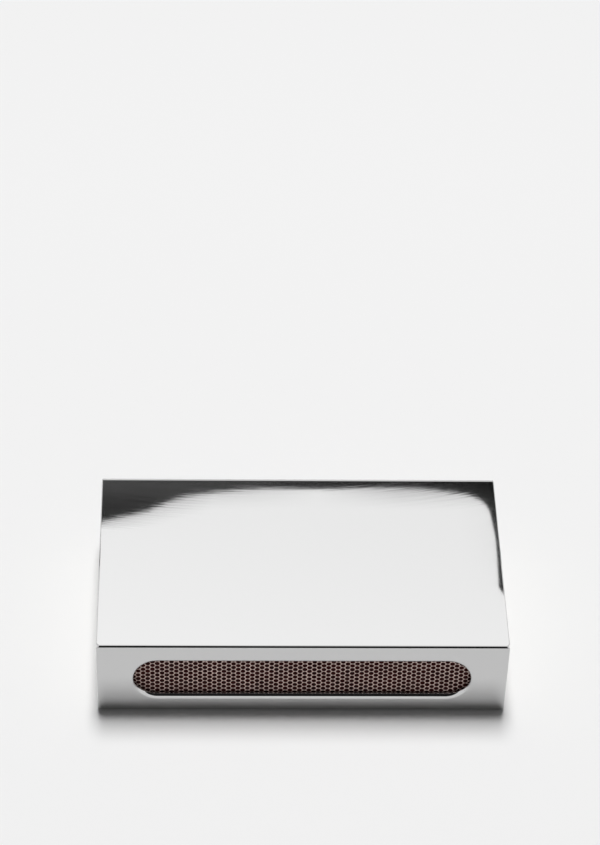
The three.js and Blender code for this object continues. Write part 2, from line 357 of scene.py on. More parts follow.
def printed_card():
    """White-lined folding boxboard: a smooth clay coat, printed with a plain frame of two lines."""
    material, tree = new_material("Printed folding boxboard")
    place = object_place(tree)
    fibres = grain(tree, scaled(tree, place, 0.4, 1, 1), 0.35 * MM, 3, 0.6)
    mottle = grain(tree, place, 6 * MM, 2)
    axes = parts_of(tree, place)
    low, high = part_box("box_sleeve")
    middle, half = (low + high) / 2, (high - low) / 2
    insets = []
    for axis in (0, 1):
        away = maths(tree, "ABSOLUTE", maths(tree, "SUBTRACT", axes[axis], middle[axis]))
        insets.append(maths(tree, "SUBTRACT", half[axis], away))
    edge_distance = maths(tree, "MINIMUM", *insets)
    colour = blended(tree, mottle, "#e9e1cf", "#e2d9c4")
    for line_place, line_width in PRINTED_LINES:
        line = maths(tree, "COMPARE", edge_distance, line_place, line_width / 2)
        colour = blended(tree, line, colour, "#8c2f26")
    inputs = {
        "Base Color": blended(tree, between(tree, fibres, 0.55, 0.8, 0, 0.25), colour, "#c9bfa8"),
        "Roughness": between(tree, fibres, 0.3, 0.7, 0.42, 0.6),
        "Normal": raised(tree, fibres, 0.012 * MM),
    }
    show(tree, add(tree, "ShaderNodeBsdfPrincipled", inputs=inputs).outputs[0])
    return material


def pulp_board(name, light, dark, fleck):
    """Uncoated recycled board: a dull, woolly grey face with darker and paler fibre flecks."""
    material, tree = new_material(name)
    place = object_place(tree)
    fibres = grain(tree, scaled(tree, place, 0.35, 1, 1), 0.5 * MM, 4, 0.65)
    clouds = grain(tree, place, 9 * MM, 3)
    flecks = grain(tree, scaled(tree, place, 1, 0.4, 1), 0.45 * MM, 1)
    colour = blended(tree, between(tree, clouds, 0.3, 0.7), light, dark)
    colour = blended(tree, between(tree, flecks, 0.62, 0.74, 0, 0.3), colour, fleck)
    inputs = {
        "Base Color": blended(tree, between(tree, fibres, 0.45, 0.75, 0, 0.3), colour, dark),
        "Roughness": between(tree, fibres, 0.3, 0.7, 0.78, 0.92),
        "Normal": raised(tree, fibres, 0.03 * MM),
    }
    show(tree, add(tree, "ShaderNodeBsdfPrincipled", inputs=inputs).outputs[0])
    return material


def cut_board_edge():
    """The cut edge of board: torn grey fibre in thin layers."""
    material, tree = new_material("Cut board edge")
    place = object_place(tree)
    layers = grain(tree, scaled(tree, place, 1, 2.2, 2.2), 0.4 * MM, 3, 0.7)
    inputs = {
        "Base Color": blended(tree, between(tree, layers, 0.35, 0.65), "#b3a890", "#d6ccb6"),
        "Roughness": 0.9,
        "Normal": raised(tree, layers, 0.05 * MM),
    }
    show(tree, add(tree, "ShaderNodeBsdfPrincipled", inputs=inputs).outputs[0])
    return material


def strip_paper():
    """The uncoated paper between the striking dots: pinkish grey with a fine tooth."""
    material, tree = new_material("Pinkish striking strip paper")
    place = object_place(tree)
    tooth = grain(tree, place, 0.25 * MM, 3, 0.6)
    stain = grain(tree, place, 5 * MM, 2)
    colour = blended(tree, between(tree, stain, 0.3, 0.7), "#efd7cf", "#e0cac1")
    inputs = {
        "Base Color": blended(tree, between(tree, tooth, 0.5, 0.8, 0, 0.4), colour, "#b79a90"),
        "Roughness": 0.8,
        "Normal": raised(tree, tooth, 0.02 * MM),
    }
    show(tree, add(tree, "ShaderNodeBsdfPrincipled", inputs=inputs).outputs[0])
    return material


def red_phosphorus_print():
    """Red phosphorus and glass powder in glue, screen printed: dark, dry and gritty."""
    material, tree = new_material("Red phosphorus striking print")
    place = object_place(tree)
    grit = grain(tree, place, 0.12 * MM, 3, 0.7)
    patches = grain(tree, place, 3 * MM, 2)
    colour = blended(tree, between(tree, patches, 0.3, 0.7), "#220404", "#360a08")
    inputs = {
        "Base Color": blended(tree, between(tree, grit, 0.6, 0.8, 0, 0.5), colour, "#4a1d18"),
        "Roughness": between(tree, grit, 0.3, 0.7, 0.75, 0.95),
        "Specular IOR Level": 0.08,
        "Normal": raised(tree, grit, 0.03 * MM),
    }
    show(tree, add(tree, "ShaderNodeBsdfPrincipled", inputs=inputs).outputs[0])
    return material


def aspen_splint_wood():
    """Peeled aspen: pale, straight grained along the splint, waxed and darker near the head."""
    material, tree = new_material("Aspen splint wood")
    place = add(tree, "ShaderNodeAttribute", {"attribute_name": "splint_place"}).outputs["Vector"]
    fibres = grain(tree, scaled(tree, place, 1, 0.03, 1), 0.16 * MM, 3, 0.6)
    bands = grain(tree, scaled(tree, place, 1, 0.02, 1), 0.9 * MM, 2)
    pores = grain(tree, scaled(tree, place, 1, 0.08, 1), 0.1 * MM, 2)
    along = parts_of(tree, place)[1]
    colour = blended(tree, between(tree, bands, 0.3, 0.7), "#ead3a4", "#dcc08c")
    colour = blended(tree, between(tree, fibres, 0.5, 0.8, 0, 0.5), colour, "#c8a568")
    colour = blended(tree, between(tree, pores, 0.68, 0.8, 0, 0.6), colour, "#a9854d")
    waxed = between(tree, along, 10 * MM, 20 * MM, 0, 0.4)
    inputs = {
        "Base Color": blended(tree, waxed, colour, "#c49a5c"),
        "Roughness": between(tree, fibres, 0.3, 0.7, 0.5, 0.72),
        "Normal": raised(tree, fibres, 0.03 * MM),
    }
    show(tree, add(tree, "ShaderNodeBsdfPrincipled", inputs=inputs).outputs[0])
    return material


def head_compound():
    """Dipped match head compound: a brownish red skin, dull, with fine grit and tiny pits."""
    material, tree = new_material("Dipped match head compound")
    place = object_place(tree)
    grit = grain(tree, place, 0.22 * MM, 3, 0.65)
    pits = grain(tree, place, 0.6 * MM, 1)
    colour = blended(tree, between(tree, pits, 0.3, 0.7), "#5a211a", "#471712")
    wrinkled = raised(tree, pits, 0.08 * MM)
    inputs = {
        "Base Color": blended(tree, between(tree, grit, 0.58, 0.75, 0, 0.5), colour, "#7d4238"),
        "Roughness": between(tree, grit, 0.3, 0.7, 0.5, 0.75),
        "Normal": raised(tree, grit, 0.04 * MM, wrinkled),
    }
    show(tree, add(tree, "ShaderNodeBsdfPrincipled", inputs=inputs).outputs[0])
    return material


def joined(bm, other):
    """Adds another bmesh's shape to bm and frees the other."""
    carrier = bpy.data.meshes.new("carrier")
    other.to_mesh(carrier)
    other.free()
    bm.from_mesh(carrier)
    bpy.data.meshes.remove(carrier)
    return bm


def new_piece(name, bm, materials):
    """A finished mesh as an object at the origin, smooth but for its sharp edges."""
    mesh = bpy.data.meshes.new(name)
    bm.to_mesh(mesh)
    bm.free()
    for material in materials:
        mesh.materials.append(material)
    mesh.shade_smooth()
    piece = bpy.data.objects.new(name, mesh)
    bpy.context.scene.collection.objects.link(piece)
    return piece


def dress(piece, node, body):
    """The piece stands for a CAD node and moves with its body."""
    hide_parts(node)
    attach(piece, body)


def soften(bm, parts, radius, steps, affect="EDGES"):
    """Rounds edges off, or the corners of a flat shape with affect VERTICES."""
    bmesh.ops.bevel(
        bm,
        geom=parts,
        offset=radius,
        offset_type="OFFSET",
        segments=steps,
        profile=0.5,
        affect=affect,
        material=-1,
        clamp_overlap=False,
    )


def rectangle(width, height):
    """A flat rectangle round the origin in the XY plane."""
    bm = bmesh.new()
    bmesh.ops.create_grid(bm, x_segments=1, y_segments=1, size=0.5)
    bmesh.ops.scale(bm, vec=(width, height, 1), verts=bm.verts)
    return bm


def rounded_outline(width, height, radius, steps):
    """The edges of a rectangle with rounded corners, round the origin in the XY plane."""
    bm = rectangle(width, height)
    soften(bm, bm.verts[:], radius, steps, "VERTICES")
    bmesh.ops.remove_doubles(bm, verts=bm.verts, dist=SAME_PLACE)
    bmesh.ops.delete(bm, geom=bm.faces[:], context="FACES_ONLY")
    return bm


def only_verts(parts):
    """The vertices among the parts that an operator made."""
    return [part for part in parts if isinstance(part, bmesh.types.BMVert)]


def rolled(arcs, steps):
    """Points along arcs from one face to the next, as run along and drop off the first face."""
    places = [(0, 0)]
    tilt = 0
    for radius, turn in arcs:
        for step in range(steps):
            start = math.radians(tilt + turn * step / steps)
            end = math.radians(tilt + turn * (step + 1) / steps)
            run, drop = places[-1]
            run += radius * (math.sin(end) - math.sin(start))
            drop += radius * (math.cos(start) - math.cos(end))
            places.append((run, drop))
        tilt += turn
    return places


def folded_section(depth, height, wall, arcs, inner_radius, steps):
    """The section of a folded sheet round the origin in the YZ plane, as outer and inner points."""
    bend = rolled(arcs, steps)
    whole_run = bend[-1][0]
    section = []
    for side, up in ((1, 1), (1, -1), (-1, -1), (-1, 1)):
        corner = []
        for number, (run, drop) in enumerate(bend):
            turn = math.radians(90) * number / (len(bend) - 1)
            inner_y = depth / 2 - wall - inner_radius * (1 - math.sin(turn))
            inner_z = height / 2 - wall - inner_radius * (1 - math.cos(turn))
            outer = (side * (depth / 2 - whole_run + run), up * (height / 2 - drop))
            corner.append((outer, (side * inner_y, up * inner_z)))
        section += corner if side == up else reversed(corner)
    return section


def folded_tube(length, depth, height, wall, arcs, inner_radius, steps):
    """A four-sided tube of one sheet along X, open at both ends."""
    bm = bmesh.new()
    pairs = []
    for pair in folded_section(depth, height, wall, arcs, inner_radius, steps):
        pairs.append([bm.verts.new((-length / 2, *point)) for point in pair])
    for (outer, inner), (next_outer, next_inner) in zip(pairs, pairs[1:] + pairs[:1]):
        bm.faces.new((outer, next_outer, next_inner, inner))
    drawn = bmesh.ops.extrude_face_region(bm, geom=bm.faces[:])["geom"]
    bmesh.ops.translate(bm, vec=(length, 0, 0), verts=only_verts(drawn))
    bmesh.ops.recalc_face_normals(bm, faces=bm.faces)
    return bm


def rim_edges(bm):
    """The sharp edges round the open ends of a tube along X."""
    return [
        edge
        for edge in bm.edges
        if len(edge.link_faces) == 2
        and sorted(round(abs(face.normal.x), 2) for face in edge.link_faces) == [0, 1]
    ]


def slot_point(point, reach, outwards, inwards, rolled_off):
    """A point of a window's outline moved outwards and into the sheet, less at the round ends."""
    middle = Vector((max(-reach, min(reach, point.x)), 0, 0))
    out = (point - middle).normalized()
    share = 1 - (1 - WINDOW_END_ROLL) * out.x**2 if rolled_off else 1
    return point + out * outwards * share + Vector((0, inwards * share, 0))


def window_wall(length, height, side):
    """The wall of a window from the cover's outer face to its inner face, with both its edges."""
    reach = (length - height) / 2
    bm = rounded_outline(length, height, height / 2, WINDOW_ARC_STEPS)
    bmesh.ops.transform(bm, matrix=XY_TO_XZ, verts=bm.verts)
    roll = rolled(WINDOW_ROLL, WINDOW_ROLL_STEPS)
    loops = [(drop, roll[-1][0] - run, True) for run, drop in reversed(roll)]
    for step in range(WINDOW_BREAK_STEPS + 1):
        turn = math.radians(90) * step / WINDOW_BREAK_STEPS
        depth = COVER_SHEET - WINDOW_BREAK * (1 - math.sin(turn))
        loops.append((WINDOW_BREAK * (1 - math.cos(turn)), depth, False))
    outline = [vert.co.copy() for vert in bm.verts]
    neighbours = [[vert.index for vert in edge.verts] for edge in bm.edges]
    bm.clear()
    last = None
    for outwards, depth, rolled_off in loops:
        shift = (reach, outwards, -side * depth, rolled_off)
        ring = [bm.verts.new(slot_point(point, *shift)) for point in outline]
        if last:
            for first, second in neighbours:
                bm.faces.new((last[first], last[second], ring[second], ring[first]))
        last = ring
    return bm


def cut_window(bm, side, length, height, rise, outer_face):
    """Opens a window in the cover's long wall on one side, -1 front or 1 back."""
    walls = [f for f in bm.faces if f.normal.y * side > FLAT or f.normal.y * side < -FLAT]
    walls = [f for f in walls if f.calc_center_median().y * side > 0]
    walls = sorted(walls, key=lambda f: f.calc_area())[-2:]
    bmesh.ops.delete(bm, geom=walls, context="FACES_ONLY")
    opening = window_wall(length, height, side)
    bmesh.ops.translate(opening, vec=(0, side * outer_face, rise), verts=opening.verts)
    joined(bm, opening)
    for depth in (outer_face, outer_face - COVER_SHEET):
        border = [
            e
            for e in bm.edges
            if len(e.link_faces) == 1 and all(abs(v.co.y - side * depth) < SAME_PLACE for v in e.verts)
        ]
        bmesh.ops.triangle_fill(
            bm,
            use_beauty=False,
            use_dissolve=False,
            edges=border,
            normal=(0, side, 0),
        )


def draw_in_rims(bm, size):
    """Draws the rims of the open ends in a little where the sheet is bent."""
    bend_run, bend_drop = rolled(COVER_BEND, BEND_STEPS)[-1]
    for vert in bm.verts:
        if abs(vert.co.x) < size.x / 2 - COVER_SHEET:
            continue
        past_flat_y = (abs(vert.co.y) - size.y / 2 + bend_run) / bend_run
        past_flat_z = (abs(vert.co.z) - size.z / 2 + bend_drop) / bend_drop
        share = max(0, min(1, 2 * past_flat_y, 2 * past_flat_z))
        vert.co.x -= math.copysign(COVER_RIM_DRAW * share, vert.co.x)


def set_mirror_normals(piece):
    """Keeps flat walls flat right up to their bends, and the bends straight right up to the rims."""
    bm = bmesh.new()
    bm.from_mesh(piece.data)
    bm.normal_update()
    normals = []
    for vert in bm.verts:
        flats = [f.normal for f in vert.link_faces if max(abs(c) for c in f.normal) > FLAT]
        along = [f.normal for f in vert.link_faces if abs(f.normal.x) < 1 - FLAT]
        if flats:
            normals.append(flats[0].copy())
        elif along:
            normals.append(sum(along, Vector()).normalized())
        else:
            normals.append(vert.normal.copy())
    bm.free()
    piece.data.normals_split_custom_set_from_vertices(normals)


def make_cover(steel):
    """The cover: a polished sleeve with a window in each long side."""
    low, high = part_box("cover")
    size = high - low
    bm = folded_tube(*size, COVER_SHEET, COVER_BEND, COVER_INNER_RADIUS, BEND_STEPS)
    soften(bm, rim_edges(bm), COVER_RIM_RADIUS, RIM_STEPS)
    draw_in_rims(bm, size)
    length = size.x - 2 * WINDOW_END_MARGIN
    height = size.z - WINDOW_TOP_MARGIN - WINDOW_FOOT_MARGIN
    rise = (WINDOW_FOOT_MARGIN - WINDOW_TOP_MARGIN) / 2
    for side in (-1, 1):
        cut_window(bm, side, length, height, rise, size.y / 2)
    bmesh.ops.recalc_face_normals(bm, faces=bm.faces)
    bmesh.ops.translate(bm, vec=(low + high) / 2, verts=bm.verts)
    cover = new_piece("polished_cover", bm, [steel])
    set_mirror_normals(cover)
    dress(cover, "cover", "cover")


def plate(low, high):
    """A flat plate between two corners."""
    bm = bmesh.new()
    bmesh.ops.create_cube(bm, size=1)
    bmesh.ops.scale(bm, vec=Vector(high) - Vector(low), verts=bm.verts)
    bmesh.ops.translate(bm, vec=(Vector(low) + Vector(high)) / 2, verts=bm.verts)
    return bm


def paint_faces(bm, test, index):
    """Gives the faces that pass a test another of the piece's materials."""
    for face in bm.faces:
        if test(face):
            face.material_index = index


def make_striker(name, side, paper, print_coat):
    """One striking strip: a paper ground with raised dots, set like a honeycomb. Real dots are
    round; these have few sides, as there are hundreds."""
    low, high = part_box(name)
    outer = low.y if side < 0 else high.y
    inner = high.y if side < 0 else low.y
    ground = inner + side * STRIP_GROUND
    front, back = sorted((ground, inner))
    bm = plate((low.x, front, low.z), (high.x, back, high.z))
    soften(bm, bm.edges[:], CUT_EDGE_SOFTNESS / 2, 2)
    column_pitch = DOT_PITCH * math.cos(math.radians(30))
    columns = int((high.x - low.x) / 2 / column_pitch) + 1
    rows = int((high.z - low.z) / 2 / DOT_PITCH) + 1
    middle = (low + high) / 2
    edge_room = DOT_RADIUS * (1 + DOT_SIZE_SPREAD) + 2 * DOT_SLIP
    height = abs(outer - ground) + DOT_SINK
    dots = bmesh.new()
    for column in range(-columns, columns + 1):
        for row in range(-rows, rows + 1):
            x = middle.x + PRINT_SHIFT_X + column * column_pitch
            z = middle.z + PRINT_SHIFT_Z + (row + (column % 2) / 2) * DOT_PITCH
            if not (low.x + edge_room < x < high.x - edge_room):
                continue
            if not (low.z + edge_room < z < high.z - edge_room):
                continue
            radius = DOT_RADIUS * (1 + rng.uniform(-DOT_SIZE_SPREAD, DOT_SIZE_SPREAD))
            x += rng.uniform(-DOT_SLIP, DOT_SLIP)
            z += rng.uniform(-DOT_SLIP, DOT_SLIP)
            place = Matrix.Translation((x, outer - side * height / 2, z))
            turn = Matrix.Rotation(math.radians(-90 * side), 4, "X")
            bmesh.ops.create_cone(
                dots,
                cap_ends=True,
                cap_tris=False,
                segments=DOT_SIDES,
                radius1=radius,
                radius2=radius - DOT_SHOULDER,
                depth=height,
                matrix=place @ turn,
            )
    paint_faces(dots, lambda f: True, 1)
    joined(bm, dots)
    strip = new_piece(name + "_print", bm, [paper, print_coat])
    strip.data.set_sharp_from_angle(angle=math.radians(STRIP_SHARP_ANGLE))
    dress(strip, name, "box")


def is_inside(face, half_depth, half_height):
    """True for a face on the inner side of a folded tube round the origin."""
    centre = face.calc_center_median()
    return abs(centre.y) < half_depth and abs(centre.z) < half_height


def make_sleeve(card, lining, cut_edge):
    """The card sleeve, with the lap that folds up from its floor and is glued inside its back."""
    low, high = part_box("box_sleeve")
    size = high - low
    middle = (low + high) / 2
    inner_radius = SLEEVE_FOLD_RADIUS - SLEEVE_CARD
    bm = folded_tube(*size, SLEEVE_CARD, ((SLEEVE_FOLD_RADIUS, 90),), inner_radius, CARD_STEPS)
    half_depth = size.y / 2 - SLEEVE_CARD / 2
    half_height = size.z / 2 - SLEEVE_CARD / 2
    paint_faces(bm, lambda f: is_inside(f, half_depth, half_height), 1)
    paint_faces(bm, lambda f: abs(f.normal.x) > FLAT, 2)
    soften(bm, rim_edges(bm), CUT_EDGE_SOFTNESS, 2)
    lap_back = size.y / 2 - SLEEVE_CARD - GLUE_SEAM
    lap_foot = -size.z / 2 + SLEEVE_CARD + GLUE_SEAM
    lap = plate(
        (-size.x / 2 + GLUE_SEAM, lap_back - SLEEVE_CARD + GLUE_SEAM, lap_foot),
        (size.x / 2 - GLUE_SEAM, lap_back, lap_foot + LAP_WIDTH - GLUE_SEAM),
    )
    outer = [e for e in lap.edges if all(v.co.y > lap_back - SAME_PLACE for v in e.verts)]
    fold = [e for e in outer if all(v.co.z < 0 for v in e.verts)]
    soften(lap, fold, inner_radius, CARD_STEPS)
    paint_faces(lap, lambda f: True, 1)
    paint_faces(lap, lambda f: abs(f.normal.x) > FLAT or f.normal.z > FLAT, 2)
    joined(bm, lap)
    bmesh.ops.translate(bm, vec=middle, verts=bm.verts)
    sleeve = new_piece("match_box_sleeve", bm, [card, lining, cut_edge])
    sleeve.data.set_sharp_from_angle(angle=math.radians(BOARD_SHARP_ANGLE))
    dress(sleeve, "box_sleeve", "box")


def is_cut_edge(face):
    """True for the narrow faces where the tray's board is cut."""
    return face.calc_area() / max(e.calc_length() for e in face.edges) < 1.01 * TRAY_BOARD and (
        face.normal.z > FLAT or abs(face.normal.y) > FLAT
    )


def tray_end(size, end):
    """An end wall of the tray, folded up from the floor."""
    x_out = end * size.x / 2
    x_in = end * (size.x / 2 - TRAY_BOARD)
    x_low, x_high = sorted((x_out, x_in))
    bm = plate((x_low, -size.y / 2, -size.z / 2), (x_high, size.y / 2, size.z / 2))
    outer = [e for e in bm.edges if all(abs(v.co.x - x_out) < SAME_PLACE for v in e.verts)]
    fold = [e for e in outer if all(v.co.z < 0 for v in e.verts)]
    soften(bm, fold, TRAY_END_FOLD_RADIUS, CARD_STEPS)
    return bm


def tray_flap(size, end, side):
    """A flap that turns in from a long wall and is glued inside an end wall."""
    x_out = end * (size.x / 2 - TRAY_BOARD - GLUE_SEAM)
    x_in = x_out - end * (TRAY_BOARD - GLUE_SEAM)
    y_out = side * (size.y / 2 - TRAY_BOARD - GLUE_SEAM)
    y_in = y_out - side * FLAP_WIDTH
    foot = -size.z / 2 + TRAY_BOARD + FLAP_FOOT_GAP
    top = size.z / 2 - FLAP_TOP_DROP
    x_low, x_high = sorted((x_out, x_in))
    y_low, y_high = sorted((y_out, y_in))
    bm = plate((x_low, y_low, foot), (x_high, y_high, top))
    free = [e for e in bm.edges if all(abs(v.co.y - y_in) < SAME_PLACE for v in e.verts)]
    soften(bm, free, CUT_EDGE_SOFTNESS, 2)
    return bm


def make_tray(board, cut_edge):
    """The drawer: floor and long walls of one folded sheet, end walls, and four glued flaps."""
    low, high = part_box("tray")
    size = high - low
    sheet_length = size.x - 2 * (TRAY_BOARD + GLUE_SEAM)
    bm = rounded_outline(size.y, size.z, TRAY_FOLD_RADIUS, CARD_STEPS)
    bend_start = size.z / 2 - TRAY_FOLD_RADIUS + SAME_PLACE
    upper_bends = [v for v in bm.verts if v.co.y > bend_start]
    bmesh.ops.delete(bm, geom=upper_bends, context="VERTS")
    for vert in bm.verts:
        if vert.co.y > 0:
            vert.co.y = size.z / 2
    bmesh.ops.transform(bm, matrix=XY_TO_YZ, verts=bm.verts)
    bmesh.ops.translate(bm, vec=(-sheet_length / 2, 0, 0), verts=bm.verts)
    drawn = bmesh.ops.extrude_edge_only(bm, edges=bm.edges[:])["geom"]
    bmesh.ops.translate(bm, vec=(sheet_length, 0, 0), verts=only_verts(drawn))
    bmesh.ops.recalc_face_normals(bm, faces=bm.faces)
    floor = min(bm.faces, key=lambda f: f.calc_center_median().z)
    if floor.normal.z > 0:
        bmesh.ops.reverse_faces(bm, faces=bm.faces)
    bmesh.ops.solidify(bm, geom=bm.faces[:], thickness=TRAY_BOARD)
    bmesh.ops.recalc_face_normals(bm, faces=bm.faces)
    for end in (-1, 1):
        joined(bm, tray_end(size, end))
        for side in (-1, 1):
            joined(bm, tray_flap(size, end, side))
    paint_faces(bm, is_cut_edge, 1)
    bmesh.ops.translate(bm, vec=(low + high) / 2, verts=bm.verts)
    tray = new_piece("match_tray", bm, [board, cut_edge])
    tray.data.set_sharp_from_angle(angle=math.radians(BOARD_SHARP_ANGLE))
    dress(tray, "tray", "tray")


def match_axes(number):
    """Where a match lies: its own X across it, +Y to its head and Z up, from its CAD nodes."""
    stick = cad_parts["match_stick_" + number]
    faces = stick.data.polygons
    largest = max(face.area for face in faces)
    across = [face for face in faces if face.area > 0.9 * largest]
    up = max((face.normal for face in across), key=lambda normal: normal.z).normalized()
    end = min(faces, key=lambda face: face.area)
    along = end.normal.normalized()
    low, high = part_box("match_stick_" + number)
    head_low, head_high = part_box("match_head_" + number)
    middle = (low + high) / 2
    if ((head_low + head_high) / 2 - middle).dot(along) < 0:
        along = -along
    side = along.cross(up)
    length = max((vert.co - middle).dot(along) for vert in stick.data.vertices)
    turn = Matrix((side, along, up)).transposed().to_4x4()
    return Matrix.Translation(middle) @ turn, length


def splint_shape(half_length, seed):
    """A split and slightly uneven wooden splint along its own Y."""
    bm = bmesh.new()
    bmesh.ops.create_cube(bm, size=1)
    bmesh.ops.scale(bm, vec=(SPLINT_WIDTH, 2 * half_length, SPLINT_WIDTH), verts=bm.verts)
    soften(bm, bm.edges[:], SPLINT_EDGE, 2)
    for step in range(1, SPLINT_STEPS):
        y = half_length * (2 * step / SPLINT_STEPS - 1)
        parts = bm.verts[:] + bm.edges[:] + bm.faces[:]
        bmesh.ops.bisect_plane(bm, geom=parts, dist=SAME_PLACE, plane_co=(0, y, 0), plane_no=(0, 1, 0))
    rest = bm.verts.layers.float_vector.new("splint_place")
    offset = Vector((seed * 7.3, 0, seed * 3.1)) * MM
    for vert in bm.verts:
        vert[rest] = vert.co + offset
        sway = noise.noise_vector(Vector((seed, vert.co.y / SPLINT_SWAY_LENGTH, 0)))
        wear = noise.noise_vector(vert.co / SPLINT_WEAR_LENGTH + Vector((0, seed, 0)))
        vert.co.x += SPLINT_UNEVENNESS * (sway.x - 0.5 * abs(wear.x) * math.copysign(1, vert.co.x))
        vert.co.z -= SPLINT_UNEVENNESS * 0.5 * abs(wear.z) * math.copysign(1, vert.co.z)
    return bm


def head_shape(seed):
    """A dipped head: a skin that follows the square splint at first and swells to a round drop."""
    bm = bmesh.new()
    widest = (SPLINT_WIDTH / 2) * math.sqrt(2) + HEAD_COAT
    start = widest - 2 * HEAD_EDGE_COAT
    last = None
    for ring in range(HEAD_RINGS + 1):
        turn = math.radians(180) * ring / HEAD_RINGS
        if turn < math.radians(90):
            radius = start + (widest - start) * math.sin(turn)
            y = -HEAD_DIP * math.cos(turn)
        else:
            radius = widest * math.sin(turn)
            y = -HEAD_TIP * math.cos(turn)
        vert = bm.verts.new((0 if ring == HEAD_RINGS else radius, y, 0))
        if last:
            bm.edges.new((last, vert))
        last = vert
    inner = bm.verts.new((0, -HEAD_DIP, 0))
    bm.verts.ensure_lookup_table()
    bm.edges.new((inner, bm.verts[0]))
    bmesh.ops.spin(
        bm,
        geom=bm.verts[:] + bm.edges[:],
        cent=(0, 0, 0),
        axis=(0, 1, 0),
        dvec=(0, 0, 0),
        angle=math.radians(360),
        steps=HEAD_SIDES,
        use_merge=True,
        use_duplicate=False,
    )
    bmesh.ops.remove_doubles(bm, verts=bm.verts, dist=SAME_PLACE)
    bmesh.ops.recalc_face_normals(bm, faces=bm.faces)
    half = SPLINT_WIDTH / 2 + HEAD_EDGE_COAT
    for vert in bm.verts:
        flat = Vector((vert.co.x, 0, vert.co.z))
        if flat.length < SAME_PLACE:
            continue
        outwards = flat.normalized()
        square = half / max(abs(outwards.x), abs(outwards.z))
        share = min(1, max(0, (vert.co.y + HEAD_DIP) / HEAD_ROUNDING_LENGTH))
        share = share * share * (3 - 2 * share)
        radius = min(square, flat.length) * (1 - share) + flat.length * share
        bumps = noise.noise(vert.co / HEAD_BUMP_LENGTH + Vector((seed * 5, 0, 0)))
        radius -= HEAD_UNEVENNESS * abs(bumps) * share
        drift = noise.noise(outwards * 1.2 + Vector((0, seed * 3, 0)))
        vert.co.y += (1 - share) * DIP_LINE_DRIFT * (0.5 + drift)
        vert.co.x, vert.co.z = outwards.x * radius, outwards.z * radius
    return bm


def make_matches(wood, compound):
    """Every match as a splint and a head, each on its own CAD node."""
    numbers = sorted(name[-2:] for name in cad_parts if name.startswith("match_stick_"))
    for seed, number in enumerate(numbers):
        place, half_length = match_axes(number)
        bm = splint_shape(half_length, seed)
        bmesh.ops.transform(bm, matrix=place, verts=bm.verts)
        splint = new_piece("splint_" + number, bm, [wood])
        splint.data.set_sharp_from_angle(angle=math.radians(SPLINT_SHARP_ANGLE))
        dress(splint, "match_stick_" + number, "tray")
        bm = head_shape(seed)
        at_end = place @ Matrix.Translation((0, half_length, 0))
        bmesh.ops.transform(bm, matrix=at_end, verts=bm.verts)
        head = new_piece("head_" + number, bm, [compound])
        dress(head, "match_head_" + number, "tray")


def straight_to_eye(tree):
    """1 for rays that the camera sees straight, mirrored or through glass, 0 for stray light."""
    path = add(tree, "ShaderNodeLightPath").outputs
    mirrored = maths(tree, "MAXIMUM", path["Is Glossy Ray"], path["Is Transmission Ray"])
    never_scattered = maths(tree, "LESS_THAN", path["Diffuse Depth"], 0.5)
    mirrored = maths(tree, "MULTIPLY", mirrored, never_scattered)
    return maths(tree, "MAXIMUM", path["Is Camera Ray"], mirrored)


def light_world():
    """A pale surround for the eye, a brighter one for mirrors, and a little light from all round."""
    world = bpy.data.worlds.new("Studio")
    world.use_nodes = True
    tree = world.node_tree
    tree.nodes.clear()
    camera_ray = add(tree, "ShaderNodeLightPath").outputs["Is Camera Ray"]
    seen = between(tree, camera_ray, 0, 1, MIRRORED_STRENGTH, BACKDROP_STRENGTH)
    strength = between(tree, straight_to_eye(tree), 0, 1, FILL_STRENGTH, seen)
    glow = add(tree, "ShaderNodeBackground", inputs={"Strength": strength})
    add(tree, "ShaderNodeOutputWorld", inputs={"Surface": glow.outputs[0]})
    bpy.context.scene.world = world


def make_floor():
    """A plain pale floor that takes the object's shadow and fades into the pale surround."""
    material, tree = new_material("Pale floor")
    distance = add(tree, "ShaderNodeVectorMath", {"operation": "LENGTH"}, {0: object_place(tree)})
    far = between(tree, distance.outputs["Value"], FLOOR_LIT_RADIUS, FLOOR_FADED_RADIUS)
    faded = maths(tree, "MULTIPLY", far, straight_to_eye(tree))
    lit = add(tree, "ShaderNodeBsdfDiffuse", inputs={"Color": linear("#eeeeee")})
    pale = add(tree, "ShaderNodeEmission", inputs={"Strength": BACKDROP_STRENGTH})
    inputs = {0: faded, 1: lit.outputs[0], 2: pale.outputs[0]}
    show(tree, add(tree, "ShaderNodeMixShader", inputs=inputs).outputs[0])
    bm = bmesh.new()
    bmesh.ops.create_circle(bm, cap_ends=True, segments=FLOOR_SIDES, radius=FLOOR_RADIUS)
    bmesh.ops.translate(bm, vec=(0, 0, -FLOOR_DROP), verts=bm.verts)
    new_piece("floor", bm, [material])


def glow_material(name, strength, across=0.0, upwards=0.0):
    """A glowing surface, brighter by the shares across and upwards towards its left and its top."""
    material, tree = new_material(name)
    axes = parts_of(tree, object_place(tree))
    low, high = strength * (1 - across), strength * (1 + across)
    left = between(tree, axes[0], PANEL_RIGHT, PANEL_LEFT, low, high)
    lift = between(tree, axes[2], PANEL_FOOT, PANEL_TOP, 1 - upwards, 1 + upwards)
    inputs = {"Strength": maths(tree, "MULTIPLY", left, lift)}
    show(tree, add(tree, "ShaderNodeEmission", inputs=inputs).outputs[0])
    return material


def only_in_mirrors(piece):
    """The piece shows in polished metal, and neither lights nor shades the rest."""
    piece.visible_camera = False
    piece.visible_diffuse = False
    piece.visible_transmission = False
    piece.visible_shadow = False


